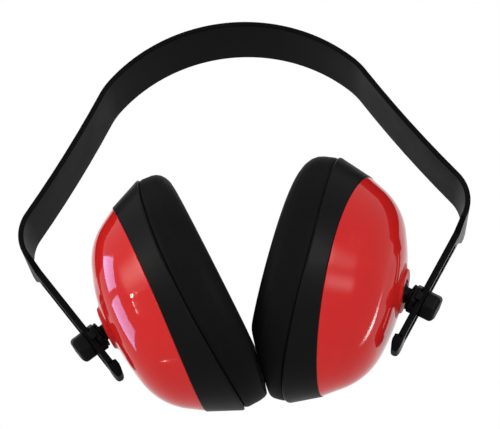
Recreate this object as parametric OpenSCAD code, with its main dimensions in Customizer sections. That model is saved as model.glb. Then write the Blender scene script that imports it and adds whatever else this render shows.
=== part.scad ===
// Earmuff hearing protector: a sprung headband with slotted arms and two oval cups on ball pivots.
// Millimetres. The origin is the middle of the crown's inner face, +Z is up and +X is the right cup.

/* [Headband] */
// Width of the band over the crown and shoulders
band_w = 30; // [26:1:34]
// Thickness of the band
band_t = 2.4; // [2.2:0.1:2.8]
// Inner radius of the crown
crown_r = 73.5; // [70:0.5:77]
// Angle from the top to the end of the crown's arc
crown_angle = 47; // [45:0.5:49]
// Angle of descent after the bend below the crown
kink_angle = 61; // [59:0.5:63]
// Length of the bend below the crown
kink_l = 8; // [6:1:12]
// Angle of descent where the flared side ends
flare_angle = 54.5; // [52:0.5:57]
// Length of the flared side
flare_l = 65.5; // [60:0.5:70]
// Inner radius of the shoulder bend
shoulder_r = 16.5; // [14:0.5:19]
// Angle from the top to the flex line on each side
flex_angle = 26; // [22:1:30]

/* [Arms] */
// Angle of descent of the arm, past vertical so that it points inward
arm_angle = 123.5; // [121:0.5:126]
// Length of the straight arm
arm_l = 65.5; // [62:0.5:70]
// Width of the arm
arm_w = 11; // [10:0.5:12]
// Length over which the band narrows to the arm
taper_l = 5; // [3:0.5:8]
// Width of the slot
slot_w = 4.6; // [4.6:0.1:5]
// Distance from the arm's tip to the end of the slot
slot_start = 9; // [8.5:0.5:11]
// Distance from the shoulder to the other end of the slot
slot_end = 9; // [8:0.5:14]
// Length of the stop at the tip
stop_l = 7.5; // [6:0.5:8]
// Thickness of the stop at the tip
stop_t = 4; // [3.4:0.1:5]

/* [Slide fitting] */
// Radius of the hexagonal knob over its corners
knob_r = 6.6; // [6:0.1:7.2]
// Length of the knob
knob_l = 6.2; // [6:0.1:8]
// Radius of the hexagonal collar over its corners
collar_r = 7; // [6.6:0.1:7]
// Thickness of the collar
collar_t = 3; // [2.6:0.1:3]
// Chamfer on the knob and the collar
hex_chamfer = 0.9; // [0.4:0.1:1.2]
// Radius of the stud's shaft
shaft_r = 2; // [1.8:0.1:2]
// Radius of the stud's neck
neck_r = 3.5; // [3:0.1:3.6]
// Radius of the stud's ball
ball_r = 6; // [5.8:0.1:6.2]
// Distance from the arm's inner face to the ball's centre
pivot_h = 11.6; // [11.6:0.1:12.4]

/* [Cups] */
// Half the length of the cup's rim
rim_a = 50.5; // [49:0.5:52]
// Width of the oval as a share of its length
oval_ratio = 0.82; // [0.78:0.005:0.84]
// Distance from the boss's face to the ball's centre
boss_face = 4.5; // [4.3:0.1:4.8]
// Radius of the round boss
boss_r = 9.6; // [9.4:0.1:10.2]
// Height of the boss above the dome
boss_proud = 1.1; // [0.9:0.1:1.4]
// Distance from the boss's face to the rim
cup_depth = 26.3; // [26:0.1:27]
// Thickness of the shell
wall = 2.5; // [2:0.1:2.8]
// Run of the sloped side wall below the rim, inward and along the axis
side_wall = [5.4, 8.5]; // [3:0.1:9]
// Slope of the outer face where it meets the rounded edge
face_slope = 17; // [16:0.5:18]
// How far the oval's middle lies below the pivot
cup_drop = 2; // [1:0.1:2.5]

/* [Seat ring and cushion] */
// Depth of the flared seat ring
ring_depth = 10.5; // [10:0.5:11]
// How far the seat ring flares out past the rim
ring_flare = 5; // [4.5:0.5:5.5]
// Half the length of the opening in the seat ring
ring_open = 37; // [35:0.5:39]
// Thickness of the cushion's backing plate
plate_t = 1.4; // [1:0.1:1.6]
// Outer and inner half length of the cushion
cushion_r = [55, 32]; // [30:0.5:55]
// Height of the cushion's front above the rim
cushion_h = 25.5; // [25:0.1:26]
// How much higher the cushion stands where the two cushions do not press together
cushion_rise = 2.2; // [0:0.1:2.5]
// Thickness of the cushion's cover
skin = 0.9; // [0.6:0.1:1.2]

/* [Rest pose] */
// Distance of the left stud from the arm's tip
left_slide = 21.5; // [21.5:0.5:30]
// Tilt of the left cup
left_tilt = -14.5; // [-18:0.5:-14.5]
// Turn of the left cup about its long axis
left_turn = 6; // [0:0.5:7]
// Distance of the right stud from the arm's tip
right_slide = 26.5; // [26.5:0.5:34]
// Tilt of the right cup
right_tilt = -14.5; // [-18:0.5:-14.5]
// Turn of the right cup about its long axis
right_turn = -5; // [-7:0.5:0]

/* [Hidden] */
$fn = 96;

// Clearance between pieces that move on each other, a running fit on a shaft, and a cut's overrun
gap = 0.3;
fit = 0.05;
over = 1;

// Directions on the band's side view: down along the band, and square to it outward
function along(a) = [cos(a), -sin(a)];
function outward(a) = [sin(a), cos(a)];

// The band's inner face in side view, from the crown to the arm's tip
crown_facets = 720;
crown_c = [0, -crown_r];
crown_p = crown_c + crown_r * outward(crown_angle);
kink_r = kink_l / ((kink_angle - crown_angle) * PI / 180);
kink_c = crown_p - kink_r * outward(crown_angle);
kink_p = kink_c + kink_r * outward(kink_angle);
flare_r = flare_l / ((kink_angle - flare_angle) * PI / 180);
flare_c = kink_p + flare_r * outward(kink_angle);
flare_p = flare_c - flare_r * outward(flare_angle);
shoulder_c = flare_p - shoulder_r * outward(flare_angle);
arm_p = shoulder_c + shoulder_r * outward(arm_angle);
tip_p = arm_p + arm_l * along(arm_angle);
flex_p = crown_c + (crown_r + band_t / 2) * outward(flex_angle);
flex_proud = 0.1;
flex_r = band_t / 2 + flex_proud;

// The side view of one side of the band: its two faces and the rounded stop at the tip
face_step = 2.5;
function bend(c, r, a0, a1) = let (n = ceil(abs(a1 - a0) / face_step))
    [for (i = [0 : n]) c + r * outward(a0 + (a1 - a0) * i / n)];
function side_face(t) = concat(
    bend(crown_c, crown_r + t, flex_angle, crown_angle),
    bend(kink_c, kink_r + t, crown_angle, kink_angle),
    bend(flare_c, t - flare_r, kink_angle, flare_angle),
    bend(shoulder_c, shoulder_r + t, flare_angle, arm_angle)
);
function inner_face() = side_face(0);
function outer_face() = let (face = side_face(band_t)) [for (i = [len(face) - 1 : -1 : 0]) face[i]];
function on_arm(u, w) = tip_p - u * along(arm_angle) - w * outward(arm_angle);
stop_r = stop_t / 2;
stop_w = stop_r - band_t;
stop_a = asin(-stop_w / stop_r);
stop_step = 10;
barb_steps = 8;
function stop_end() = concat(
    [for (a = [stop_a : (90 - stop_a) / barb_steps : 90])
        on_arm(stop_l - stop_r + stop_r * cos(a), stop_w + stop_r * sin(a))],
    [for (a = [90 : stop_step : 270]) on_arm(stop_r + stop_r * cos(a), stop_w + stop_r * sin(a))]
);

// The slide fitting, measured from the arm's inner face along the stud
collar_top = gap + collar_t;
knob_face = -band_t - gap;
knob_cap = 2;
shaft_end = knob_face - knob_l + knob_cap;
lip_t = 1.5;
lip_l = 4;
lip_drop = 1.2;
lip_root = 1;

// The ball pivot, measured from the ball's centre
liner_in = ball_r + gap;
liner_t = 1.5;
liner_out = liner_in + liner_t;
socket_r = liner_out + gap;
liner_mouth = 60;
liner_back = 45;
housing_r = 14;
housing_top = 6;
retainer_t = 2.2;
retainer_r = 13.5;
retainer_plug = 3.2;
plug_gap = 0.2;
housing_base = 0.6;
screw_count = 3;
screw_from = 90;
screw_ring_r = 11;
screw_r = 1;
screw_tip = 2;
screw_hole = 1.6;
screw_overlap = 0.1;
screw_head = [2.1, 1.5];
screw_edge = 0.6;

// The seat ring's section: its floor, the hook under the rim, the rib under the plate and the flared lip
plate_rise = 8;
floor_t = 2.2;
hook_r = [42.3, 44.2];
hook_l = 2.6;
rib_r = [44.6, 46.6];
lip_w = 2.1;
foot_w = 1;
plate_r = [33, 51.2];

// The sound foam's clearance below the rim, round the ball housing and over the screws
foam_drop = 4;
foam_gap = 0.4;
foam_over = 0.6;

// The cup along its axis, from the ball's centre towards the head
apex = -boss_face + boss_proud;
rim_z = cup_depth - boss_face;
ring_top = rim_z + ring_depth;
plate_z = rim_z + plate_rise;
cushion_base = plate_z + plate_t;
cushion_top = rim_z + cushion_h;
foam_top = rim_z - foam_drop;

// The dome's outline: a sloped side wall, a rounded edge and a gently curved face
side_slope = atan2(side_wall[1], side_wall[0]);
edge_p = [rim_a - side_wall[0], rim_z - side_wall[1]];
drop = edge_p[1] - apex;
turn_r = sin(side_slope) - sin(face_slope);
turn_z = cos(face_slope) - cos(side_slope);
face_z = 1 - cos(face_slope);
face_r = (edge_p[0] - drop * turn_r / turn_z) / (sin(face_slope) - face_z * turn_r / turn_z);
edge_r = (drop - face_r * face_z) / turn_z;
face_c = [0, apex + face_r];
edge_c = face_c + (face_r - edge_r) * [sin(face_slope), -cos(face_slope)];

outer_steps = [4, 6];
inner_steps = [3, 4];
function arc_points(c, r, a0, a1, n) =
    [for (i = [0 : n]) let (a = a0 + (a1 - a0) * i / n) c + r * [sin(a), -cos(a)]];

// Half outline of the dome, drawn in by an inset and cut square at a height
function dome_outline(inset, top, steps) = concat(
    arc_points(face_c, face_r - inset, 0, face_slope, steps[0]),
    arc_points(edge_c, edge_r - inset, face_slope, side_slope, steps[1]),
    [[rim_a - inset / sin(side_slope) - (rim_z - top) / tan(side_slope), top], [0, top]]
);

// Section of the cushion above its backing plate: a crowned pad with drawn-in sides
pad_crown = 9.6;
pad_half = [(cushion_r[0] - cushion_r[1]) / 2, pad_crown];
pad_mid = [cushion_r[1] + pad_half[0], cushion_top - pad_half[1]];
pad_squareness = 2.6;
pad_power = 2 / pad_squareness;
pad_points = 13;
pad_steps = 36;
skin_gap = 0.15;
function pad_side(v) = sign(v) * pow(abs(v), pad_power);
function pad_arch(inset) =
    let (half = pad_half - [inset, inset],
        base = asin(pow((pad_mid[1] - cushion_base) / half[1], 1 / pad_power)))
            [for (i = [0 : pad_points]) let (a = -base + (180 + 2 * base) * i / pad_points)
                pad_mid + [half[0] * pad_side(cos(a)), half[1] * pad_side(sin(a))]];

// A stretch of the crown's side view between two angles from the top
module crown_arc(a0, a1) {
    r_out = crown_r + band_t;
    translate(crown_c) intersection() {
        difference() {
            circle(r_out, $fn = crown_facets);
            circle(crown_r, $fn = crown_facets);
        }
        polygon([[0, 0], 2 * r_out * outward(a0), 2 * r_out * outward(a1)]);
    }
}

// Raises a side view across the band's width
module across(width) {
    rotate([90, 0, 0]) linear_extrude(width, center = true) children();
}

// Frames: one side of the object, the arm's tip, the stud on the arm, and the cup on its ball
module on_side(side) {
    mirror([side < 0 ? 1 : 0, 0, 0]) children();
}

module at_tip() {
    translate([tip_p[0], 0, tip_p[1]]) rotate([0, arm_angle - 180, 0]) children();
}

module at_stud(side) {
    on_side(side) at_tip() translate([side < 0 ? left_slide : right_slide, 0, 0]) children();
}

module at_liner(side) {
    at_stud(side) translate([0, 0, pivot_h]) rotate([0, side < 0 ? left_tilt : right_tilt, 0]) children();
}

module at_cup(side) {
    at_liner(side) rotate([side < 0 ? left_turn : right_turn, 0, 0]) children();
}

module oval() {
    translate([-cup_drop, 0, 0]) scale([1, oval_ratio, 1]) rotate_extrude($fn = 180) children();
}

// A hexagonal bar with both ends chamfered, from one height to another
module hex_bar(r, z0, z1) {
    intersection() {
        translate([0, 0, z0]) cylinder(r = r, h = z1 - z0, $fn = 6);
        rotate_extrude() polygon([
            [0, z0], [r - hex_chamfer, z0], [r, z0 + hex_chamfer],
            [r, z1 - hex_chamfer], [r - hex_chamfer, z1], [0, z1]
        ]);
    }
}

module headband_crown() {
    color("#1d1d1f") across(band_w) difference() {
        union() {
            crown_arc(-flex_angle, 0);
            crown_arc(0, flex_angle);
        }
        for (x = [-1, 1]) translate([x * flex_p[0], flex_p[1]]) circle(flex_r + gap);
    }
}

// What is cut away beside the arm, so that the band narrows to the arm's width
module arm_waist() {
    translate([0, 0, -2 * band_t]) linear_extrude(4 * band_t) for (y = [-1, 1]) polygon([
        [-stop_l, y * arm_w / 2], [arm_l - taper_l, y * arm_w / 2], [arm_l, y * band_w / 2],
        [arm_l, y * band_w], [-stop_l, y * band_w]
    ]);
}

module arm_slot() {
    ends = [slot_start + slot_w / 2, arm_l - slot_end - slot_w / 2];
    for (x = ends) translate([x, 0, -2 * band_t]) cylinder(d = slot_w, h = 3 * band_t);
    translate([ends[0], -slot_w / 2, -2 * band_t]) cube([ends[1] - ends[0], slot_w, 3 * band_t]);
}

module headband_side(side) {
    color("#1d1d1f") on_side(side) difference() {
        across(band_w) union() {
            translate(flex_p) circle(flex_r);
            polygon(concat(inner_face(), stop_end(), outer_face()));
        }
        at_tip() arm_waist();
        at_tip() arm_slot();
    }
}

module knob(side) {
    color("#141414") at_stud(side) difference() {
        hex_bar(knob_r, knob_face - knob_l, knob_face);
        translate([0, 0, shaft_end - gap]) cylinder(r = shaft_r + fit, h = knob_l);
    }
}

module pivot_stud(side) {
    color("#161616") at_stud(side) union() {
        translate([0, 0, shaft_end]) cylinder(r = shaft_r, h = collar_top + gap - shaft_end);
        translate([0, 0, collar_top + gap]) cylinder(r = neck_r, h = pivot_h - collar_top - gap);
        translate([0, 0, pivot_h]) sphere(ball_r);
    }
}

module slide_collar(side) {
    lip_y = arm_w / 2 + gap;
    color("#141414") at_stud(side) difference() {
        union() {
            hex_bar(collar_r, gap, collar_top);
            for (y = [-lip_y - lip_t, lip_y])
                translate([-lip_l / 2, y, -lip_drop]) cube([lip_l, lip_t, lip_drop + collar_t / 2]);
            for (y = [-lip_y - lip_t, arm_w / 2 - lip_root])
                translate([-lip_l / 2, y, gap]) cube([lip_l, lip_t + gap + lip_root, collar_t / 2]);
        }
        cylinder(r = shaft_r + fit, h = 4 * collar_t, center = true);
    }
}

module socket_liner(side) {
    color("#2a2a2c") at_liner(side) rotate_extrude() intersection() {
        difference() {
            circle(liner_out);
            circle(liner_in);
        }
        polygon([
            [0, 0], 2 * liner_out * [sin(liner_mouth), -cos(liner_mouth)], [2 * liner_out, 0],
            2 * liner_out * [sin(liner_back), cos(liner_back)]
        ]);
    }
}

module screw_places() {
    for (i = [0 : screw_count - 1])
        rotate(screw_from + i * 360 / screw_count) translate([screw_ring_r, 0, 0]) children();
}

module cup_shell(side) {
    color("#c8201f") at_cup(side) difference() {
        union() {
            oval() difference() {
                polygon(dome_outline(0, rim_z, outer_steps));
                polygon(dome_outline(wall, rim_z + over, inner_steps));
            }
            translate([0, 0, -boss_face]) cylinder(r = boss_r, h = boss_face + housing_base);
            translate([0, 0, housing_base]) cylinder(r = housing_r, h = housing_top - housing_base);
        }
        sphere(socket_r);
        cylinder(r = socket_r, h = housing_top + over);
        screw_places() translate([0, 0, screw_hole]) cylinder(r = screw_r + fit, h = housing_top);
    }
}

module socket_retainer(side) {
    color("#2a2a2c") at_cup(side) difference() {
        union() {
            translate([0, 0, housing_top]) cylinder(r = retainer_r, h = retainer_t);
            translate([0, 0, housing_top - retainer_plug])
                cylinder(r = socket_r - plug_gap, h = retainer_plug);
        }
        sphere(socket_r);
        cylinder(r = ball_r / 2, h = housing_top + retainer_t + over);
        screw_places() cylinder(r = screw_r + gap, h = housing_top + retainer_t + over);
    }
}

module retainer_screws(side) {
    head_z = housing_top + retainer_t;
    color("silver") at_cup(side) screw_places() union() {
        translate([0, 0, screw_tip]) cylinder(r = screw_r, h = head_z - screw_tip + screw_overlap);
        translate([0, 0, head_z])
            cylinder(r1 = screw_head[0], r2 = screw_head[0] - screw_edge, h = screw_head[1]);
    }
}

module sound_foam(side) {
    recess_top = housing_top + retainer_t + screw_head[1] + foam_over;
    color("#3a3a3c") at_cup(side) difference() {
        oval() polygon(dome_outline(wall + gap, foam_top, inner_steps));
        translate([0, 0, apex]) cylinder(r = housing_r + foam_gap, h = recess_top - apex);
    }
}

module seat_ring(side) {
    ring_r = rim_a + ring_flare;
    floor_z = rim_z + floor_t;
    color("#232325") at_cup(side) oval() polygon([
        [ring_open, rim_z], [hook_r[0], rim_z], [hook_r[0], rim_z - hook_l],
        [hook_r[1], rim_z - hook_l], [hook_r[1], rim_z], [rim_a, rim_z], [ring_r, ring_top],
        [ring_r - lip_w, ring_top], [rim_a - foot_w, floor_z], [rib_r[1], floor_z],
        [rib_r[1], plate_z], [rib_r[0], plate_z], [rib_r[0], floor_z], [ring_open, floor_z]
    ]);
}

module cushion_plate(side) {
    color("#2a2a2c") at_cup(side) oval()
        translate([plate_r[0], plate_z]) square([plate_r[1] - plate_r[0], plate_t]);
}

// Rise of the cushion round the oval, full at its upper end and none at the pressed lower end
press_power = 3;
function pad_rise(a) = cushion_rise * (1 - pow((1 - cos(a)) / 2, press_power));
function pad_lift(z, a) = z + pad_rise(a) * (z - cushion_base) / (cushion_top - cushion_base);

// A closed section carried round the oval as a ring of triangles
module pad_ring(section) {
    n = len(section);
    points = [
        for (i = [0 : pad_steps - 1]) let (a = 360 * i / pad_steps)
            for (p = section) [p[0] * cos(a) - cup_drop, oval_ratio * p[0] * sin(a), pad_lift(p[1], a)]
    ];
    faces = [
        for (i = [0 : pad_steps - 1]) for (j = [0 : n - 1])
            let (i2 = (i + 1) % pad_steps, j2 = (j + 1) % n)
                each [[i * n + j, i * n + j2, i2 * n + j], [i * n + j2, i2 * n + j2, i2 * n + j]]
    ];
    polyhedron(points, faces);
}

module cushion_foam(side) {
    color("#6a6a68") at_cup(side) pad_ring(pad_arch(skin + skin_gap));
}

module cushion_cover(side) {
    inner = pad_arch(skin);
    color("#131315") at_cup(side)
        pad_ring(concat(pad_arch(0), [for (i = [pad_points : -1 : 0]) inner[i]]));
}

headband_crown();
headband_side(-1);  // headband_left
headband_side(1);  // headband_right
knob(-1);  // knob_left
knob(1);  // knob_right
pivot_stud(-1);  // pivot_stud_left
pivot_stud(1);  // pivot_stud_right
slide_collar(-1);  // slide_collar_left
slide_collar(1);  // slide_collar_right
socket_liner(-1);  // socket_liner_left
socket_liner(1);  // socket_liner_right
cup_shell(-1);  // cup_shell_left
cup_shell(1);  // cup_shell_right
socket_retainer(-1);  // socket_retainer_left
socket_retainer(1);  // socket_retainer_right
retainer_screws(-1);  // retainer_screws_left
retainer_screws(1);  // retainer_screws_right
sound_foam(-1);  // sound_foam_left
sound_foam(1);  // sound_foam_right
seat_ring(-1);  // seat_ring_left
seat_ring(1);  // seat_ring_right
cushion_plate(-1);  // cushion_plate_left
cushion_plate(1);  // cushion_plate_right
cushion_foam(-1);  // cushion_foam_left
cushion_foam(1);  // cushion_foam_right
cushion_cover(-1);  // cushion_cover_left
cushion_cover(1);  // cushion_cover_right
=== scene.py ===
import math
import bmesh
import bpy
import numpy as np
from mathutils import Matrix, Vector


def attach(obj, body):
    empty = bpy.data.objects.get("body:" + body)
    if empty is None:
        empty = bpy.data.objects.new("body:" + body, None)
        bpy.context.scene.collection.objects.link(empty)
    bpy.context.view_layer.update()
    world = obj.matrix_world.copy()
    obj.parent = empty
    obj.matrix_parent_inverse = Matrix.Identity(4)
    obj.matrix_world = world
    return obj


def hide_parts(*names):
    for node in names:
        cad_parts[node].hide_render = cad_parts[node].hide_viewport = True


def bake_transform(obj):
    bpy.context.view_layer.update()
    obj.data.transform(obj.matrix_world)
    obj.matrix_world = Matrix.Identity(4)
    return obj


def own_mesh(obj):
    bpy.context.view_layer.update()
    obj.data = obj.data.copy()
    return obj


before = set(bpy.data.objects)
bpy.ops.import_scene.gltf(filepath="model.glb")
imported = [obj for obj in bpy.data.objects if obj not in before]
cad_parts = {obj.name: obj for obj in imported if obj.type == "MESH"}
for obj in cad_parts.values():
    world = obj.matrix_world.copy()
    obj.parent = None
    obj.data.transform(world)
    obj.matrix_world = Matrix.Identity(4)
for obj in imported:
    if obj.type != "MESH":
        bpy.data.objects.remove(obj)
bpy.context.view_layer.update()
scene = bpy.context.scene
scene.view_settings.view_transform = "Standard"
metre = 0.001  # pieces are modelled in millimetres and placed in metres
upAxis, acrossAxis = (0, 0, 1), (0, 1, 0)
print("frame loaded:", len(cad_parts), "nodes")


# headband and rest pose, worked out as in the solids, so that the pieces lie where the solids do
headband = {
    "width": 30, "thick": 2.4, "edge": 0.75, "edgeSteps": 4,
    "crownR": 73.5, "crownAngle": 47, "kinkAngle": 61, "kinkLength": 8,
    "flareAngle": 54.5, "flareLength": 65.5, "shoulderR": 16.5,
    "armAngle": 123.5, "armLength": 65.5, "armWidth": 11, "armGrow": 0.5, "taper": 5,
    "slotWidth": 4.6, "slotStart": 9, "slotEnd": 9, "slotSteps": 8, "slotFlat": 0.05,
    # the stop at the tip: distance from the tip, then growth inward, outward and drawing in of the sides
    "stop": [(7.3, 0.0, 0.0, 0.0), (6.9, 1.3, 0.1, 0.0), (4.4, 0.1, 0.2, 0.1), (2.6, -0.45, 0.0, 0.3),
             (1.4, -0.5, -0.15, 0.5), (0.6, -0.5, -0.35, 0.6), (0.1, -0.5, -0.5, 0.7)],
    "stepsPerDegree": 1, "fewestSteps": 6, "blendFrom": 6, "blendTo": 46, "sharpAngle": 50,
}
restPose = {
    "left": {"mirror": -1, "slide": 21.5, "tilt": -14.5, "turn": 6},
    "right": {"mirror": 1, "slide": 26.5, "tilt": -14.5, "turn": -5},
}
pivotHeight = 11.6


def outward(angle):
    return Vector((math.sin(math.radians(angle)), 0, math.cos(math.radians(angle))))


def along(angle):
    return Vector((math.cos(math.radians(angle)), 0, -math.sin(math.radians(angle))))


def bandCentres():
    s = headband
    crownCentre = Vector((0, 0, -s["crownR"]))
    crownEnd = crownCentre + s["crownR"] * outward(s["crownAngle"])
    kinkR = s["kinkLength"] / math.radians(s["kinkAngle"] - s["crownAngle"])
    kinkCentre = crownEnd - kinkR * outward(s["crownAngle"])
    kinkEnd = kinkCentre + kinkR * outward(s["kinkAngle"])
    flareR = s["flareLength"] / math.radians(s["kinkAngle"] - s["flareAngle"])
    flareCentre = kinkEnd + flareR * outward(s["kinkAngle"])
    flareEnd = flareCentre - flareR * outward(s["flareAngle"])
    shoulderCentre = flareEnd - s["shoulderR"] * outward(s["flareAngle"])
    armStart = shoulderCentre + s["shoulderR"] * outward(s["armAngle"])
    return {"crown": crownCentre, "kink": kinkCentre, "flare": flareCentre, "shoulder": shoulderCentre,
            "tip": armStart + s["armLength"] * along(s["armAngle"])}


centres = bandCentres()


def sideMatrix(side):
    return Matrix.Scale(-1, 4, (1, 0, 0)) if restPose[side]["mirror"] < 0 else Matrix.Identity(4)


def tipMatrix(side):
    turn = Matrix.Rotation(math.radians(headband["armAngle"] - 180), 4, "Y")
    return sideMatrix(side) @ Matrix.Translation(centres["tip"]) @ turn


def studMatrix(side):
    return tipMatrix(side) @ Matrix.Translation((restPose[side]["slide"], 0, 0))


def cupMatrix(side):
    tilt = Matrix.Rotation(math.radians(restPose[side]["tilt"]), 4, "Y")
    turn = Matrix.Rotation(math.radians(restPose[side]["turn"]), 4, "X")
    return studMatrix(side) @ Matrix.Translation((0, 0, pivotHeight)) @ tilt @ turn


# camera at the photograph's angle
view = {"yaw": -0.8086, "elevation": -24, "roll": 4.956, "aim": (2.55, 0, -88.18), "distance": 737.4,
        "focalPixels": 1658.2, "imageWidth": 500, "sensor": 36, "nearest": 0.01, "farthest": 50}


def addCamera():
    yaw, lift, roll = (math.radians(view[k]) for k in ("yaw", "elevation", "roll"))
    forward = Vector((math.sin(yaw) * math.cos(lift), math.cos(yaw) * math.cos(lift), -math.sin(lift)))
    level = Vector((math.cos(yaw), -math.sin(yaw), 0))
    rise = level.cross(forward)
    right = level * math.cos(roll) - rise * math.sin(roll)
    up = level * math.sin(roll) + rise * math.cos(roll)
    data = bpy.data.cameras.new("photoCamera")
    data.sensor_fit = "HORIZONTAL"
    data.sensor_width = view["sensor"]
    data.lens = view["focalPixels"] * view["sensor"] / view["imageWidth"]
    data.clip_start, data.clip_end = view["nearest"], view["farthest"]
    camera = bpy.data.objects.new("photoCamera", data)
    turned = Matrix((right, up, -forward)).transposed().to_4x4()
    eye = (Vector(view["aim"]) - forward * view["distance"]) * metre
    camera.matrix_world = Matrix.Translation(eye) @ turned
    scene.collection.objects.link(camera)
    scene.camera = camera


addCamera()


# material helpers
class NodeBench:
    def __init__(self, tree):
        self.tree = tree

    def add(self, kind, **values):
        node = self.tree.nodes.new(kind)
        for key, value in values.items():
            if key in node.inputs:
                node.inputs[key].default_value = value
            else:
                setattr(node, key, value)
        return node

    def addRange(self, fromRange=(0, 1), toRange=(0, 1)):
        node = self.add("ShaderNodeMapRange")
        node.inputs["From Min"].default_value, node.inputs["From Max"].default_value = fromRange
        node.inputs["To Min"].default_value, node.inputs["To Max"].default_value = toRange
        return node

    def addMix(self, first, second):
        node = self.add("ShaderNodeMix", data_type="RGBA")
        node.inputs["A"].default_value, node.inputs["B"].default_value = (*first, 1), (*second, 1)
        return node

    def addBump(self, strength, depth):
        node = self.add("ShaderNodeBump")
        node.inputs["Strength"].default_value = strength
        node.inputs["Distance"].default_value = depth * metre
        return node

    def join(self, source, target):
        self.tree.links.new(source, target)


def newGroup(name, inputs, outputs):
    group = bpy.data.node_groups.new(name, "ShaderNodeTree")
    for label, kind, default in inputs:
        socket = group.interface.new_socket(label, in_out="INPUT", socket_type=kind)
        socket.default_value = default
    for label, kind in outputs:
        group.interface.new_socket(label, in_out="OUTPUT", socket_type=kind)
    bench = NodeBench(group)
    return group, bench, bench.add("NodeGroupInput"), bench.add("NodeGroupOutput")


mouldLook = {"grainDetail": 2.0, "waveDetail": 1.0, "cloudScale": 55.0, "cloudDetail": 4.0,
             "cloudRough": 0.62, "cloudRange": (0.32, 0.68)}


def makeMouldSkin():
    # fine moulded skin: a spark-eroded grain, slow waviness from cooling, and cloudy shine
    group, b, into, out = newGroup(
        "mouldSkin",
        [("Grain Scale", "NodeSocketFloat", 900.0), ("Wave Scale", "NodeSocketFloat", 30.0),
         ("Wave Share", "NodeSocketFloat", 0.5), ("Shine Low", "NodeSocketFloat", 0.3),
         ("Shine High", "NodeSocketFloat", 0.4)],
        [("Height", "NodeSocketFloat"), ("Roughness", "NodeSocketFloat"), ("Cloud", "NodeSocketFloat")],
    )
    coords = b.add("ShaderNodeTexCoord")
    s = mouldLook
    grain = b.add("ShaderNodeTexNoise", Detail=s["grainDetail"])
    wave = b.add("ShaderNodeTexNoise", Detail=s["waveDetail"])
    cloud = b.add("ShaderNodeTexNoise", Scale=s["cloudScale"], Detail=s["cloudDetail"],
                  Roughness=s["cloudRough"])
    for node in (grain, wave, cloud):
        b.join(coords.outputs["Object"], node.inputs["Vector"])
    b.join(into.outputs["Grain Scale"], grain.inputs["Scale"])
    b.join(into.outputs["Wave Scale"], wave.inputs["Scale"])
    mix = b.add("ShaderNodeMix", data_type="FLOAT")
    b.join(into.outputs["Wave Share"], mix.inputs["Factor"])
    b.join(grain.outputs["Fac"], mix.inputs["A"])
    b.join(wave.outputs["Fac"], mix.inputs["B"])
    b.join(mix.outputs["Result"], out.inputs["Height"])
    shine = b.addRange(fromRange=s["cloudRange"])
    b.join(cloud.outputs["Fac"], shine.inputs["Value"])
    b.join(into.outputs["Shine Low"], shine.inputs["To Min"])
    b.join(into.outputs["Shine High"], shine.inputs["To Max"])
    b.join(shine.outputs["Result"], out.inputs["Roughness"])
    b.join(cloud.outputs["Fac"], out.inputs["Cloud"])
    return group


markLook = {"stretch": (1.0, 0.16, 0.5), "turn": (0.4, 0.2, 0.9), "detail": 3.0, "rough": 0.7,
            "distortion": 0.6, "scuffRange": (0.6, 0.76)}


def makeHandling():
    # thin scuffs from handling, as a mask
    group, b, into, out = newGroup(
        "handlingMarks",
        [("Scuff Scale", "NodeSocketFloat", 140.0)],
        [("Scuffs", "NodeSocketFloat")],
    )
    coords = b.add("ShaderNodeTexCoord")
    s = markLook
    drawn = b.add("ShaderNodeMapping", Scale=s["stretch"], Rotation=s["turn"])
    b.join(coords.outputs["Object"], drawn.inputs["Vector"])
    scratch = b.add("ShaderNodeTexNoise", Detail=s["detail"], Roughness=s["rough"],
                    Distortion=s["distortion"])
    b.join(drawn.outputs["Vector"], scratch.inputs["Vector"])
    b.join(into.outputs["Scuff Scale"], scratch.inputs["Scale"])
    scuffRamp = b.addRange(fromRange=s["scuffRange"])
    b.join(scratch.outputs["Fac"], scuffRamp.inputs["Value"])
    b.join(scuffRamp.outputs["Result"], out.inputs["Scuffs"])
    return group


mouldSkin = makeMouldSkin()
handlingMarks = makeHandling()


def newMaterial(name):
    material = bpy.data.materials.new(name)
    material.use_nodes = True
    return material, NodeBench(material.node_tree), material.node_tree.nodes["Principled BSDF"]


def plasticMaterial(name, s):
    material, b, shader = newMaterial(name)
    shader.inputs["Specular IOR Level"].default_value = s["specular"]
    skin = b.add("ShaderNodeGroup")
    skin.node_tree = mouldSkin
    for label in ("Grain Scale", "Wave Scale", "Wave Share", "Shine Low", "Shine High"):
        skin.inputs[label].default_value = s[label]
    marks = b.add("ShaderNodeGroup")
    marks.node_tree = handlingMarks
    tint = b.addMix(s["colour"], s["cloudColour"])
    b.join(skin.outputs["Cloud"], tint.inputs["Factor"])
    scuff = b.add("ShaderNodeMath", operation="MULTIPLY")
    scuff.inputs[1].default_value = s["scuff"]
    b.join(marks.outputs["Scuffs"], scuff.inputs[0])
    worn = b.addMix(s["colour"], s["scuffColour"])
    b.join(scuff.outputs[0], worn.inputs["Factor"])
    b.join(tint.outputs["Result"], worn.inputs["A"])
    b.join(worn.outputs["Result"], shader.inputs["Base Color"])
    rough = b.add("ShaderNodeMath", operation="MULTIPLY_ADD")
    rough.inputs[1].default_value = s["scuffRough"]
    b.join(scuff.outputs[0], rough.inputs[0])
    b.join(skin.outputs["Roughness"], rough.inputs[2])
    b.join(rough.outputs[0], shader.inputs["Roughness"])
    bump = b.addBump(s["bump"], s["bumpDepth"])
    b.join(skin.outputs["Height"], bump.inputs["Height"])
    b.join(bump.outputs["Normal"], shader.inputs["Normal"])
    return material


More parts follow.
